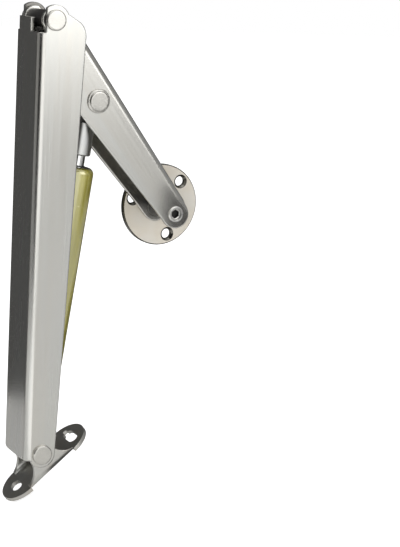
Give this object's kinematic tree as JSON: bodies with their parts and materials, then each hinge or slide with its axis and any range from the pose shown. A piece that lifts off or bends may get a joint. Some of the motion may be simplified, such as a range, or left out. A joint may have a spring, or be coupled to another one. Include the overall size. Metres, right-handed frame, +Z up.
{
  "type": "lid stay",
  "caption": "Folding lid stay: two pressed channel arms on a gas strut, with a round screw plate at one end and a tilting door bracket at the other.",
  "frame": {"origin": "centre of the round plate's face that meets the cabinet's side wall", "axes": "+Y into the cabinet's side wall, +Z up along the long arm, +X away from the long arm; every pivot runs along Y"},
  "size_m": [0.0971, 0.0301, 0.2214],
  "materials": {
    "arm_steel": "satin nickel plate",
    "bracket_steel": "satin nickel plate",
    "plate_steel": "satin nickel plate",
    "rivet_steel": "satin nickel plate",
    "fitting_steel": "zinc plate",
    "rod_chrome": "polished",
    "tube_lacquer": "gloss lacquer over steel",
    "piston_aluminium": "machined",
    "bush_plastic": "moulded",
    "seal_rubber": "moulded"
  },
  "bodies": {
    "cabinet_side": {"cabinet_plate": "plate_steel", "pivot_hub": "fitting_steel", "pivot_screw": "fitting_steel", "pivot_spacer": "bush_plastic"},
    "short_link": {"short_arm": "arm_steel", "strut_rivet_near": "rivet_steel", "strut_rivet_far": "rivet_steel"},
    "long_link": {"long_arm": "arm_steel", "top_rivet": "rivet_steel", "top_sleeve": "bush_plastic", "top_washer_near": "bush_plastic", "top_washer_far": "bush_plastic", "bottom_rivet": "rivet_steel", "bottom_washer_near": "bush_plastic", "bottom_washer_far": "bush_plastic"},
    "bracket": {"door_bracket": "bracket_steel"},
    "cylinder": {"gas_tube": "tube_lacquer", "rod_guide": "bush_plastic", "rod_seal": "seal_rubber", "foot_eye": "fitting_steel", "foot_bush": "bush_plastic", "foot_nut": "fitting_steel"},
    "rod": {"piston_rod": "rod_chrome", "piston": "piston_aluminium", "rod_eye": "fitting_steel", "strut_pin": "fitting_steel", "strut_bush": "bush_plastic"}
  },
  "joints": [
    {"name": "cabinet_swing", "type": "hinge", "parent": "cabinet_side", "child": "short_link", "pos_m": [-0.0042, -0.0154, -0.0003], "axis": [0, 1, 0], "range_deg": [-90, 90]},
    {"name": "arm_fold", "type": "hinge", "parent": "short_link", "child": "long_link", "pos_m": [-0.06689, -0.0154, 0.08443], "axis": [0, 1, 0], "range_deg": [-5, 60]},
    {"name": "bracket_tilt", "type": "hinge", "parent": "long_link", "child": "bracket", "pos_m": [-0.06619, -0.0154, -0.10637], "axis": [0, -1, 0], "range_deg": [-38, 40]},
    {"name": "strut_swing", "type": "hinge", "parent": "long_link", "child": "cylinder", "pos_m": [-0.06619, -0.0154, -0.10637], "axis": [0, 1, 0], "range_deg": [-1, 5.5]},
    {"name": "strut_slide", "type": "slide", "parent": "cylinder", "child": "rod", "axis": [0.1356, 0, 0.9908], "range_m": [-0.0035, 0.039]}
  ],
  "couplings": [
    {"joint": "strut_swing", "follows": "arm_fold", "ratio": 0.085},
    {"joint": "strut_slide", "follows": "arm_fold", "m_per_rad": 0.03625}
  ]
}
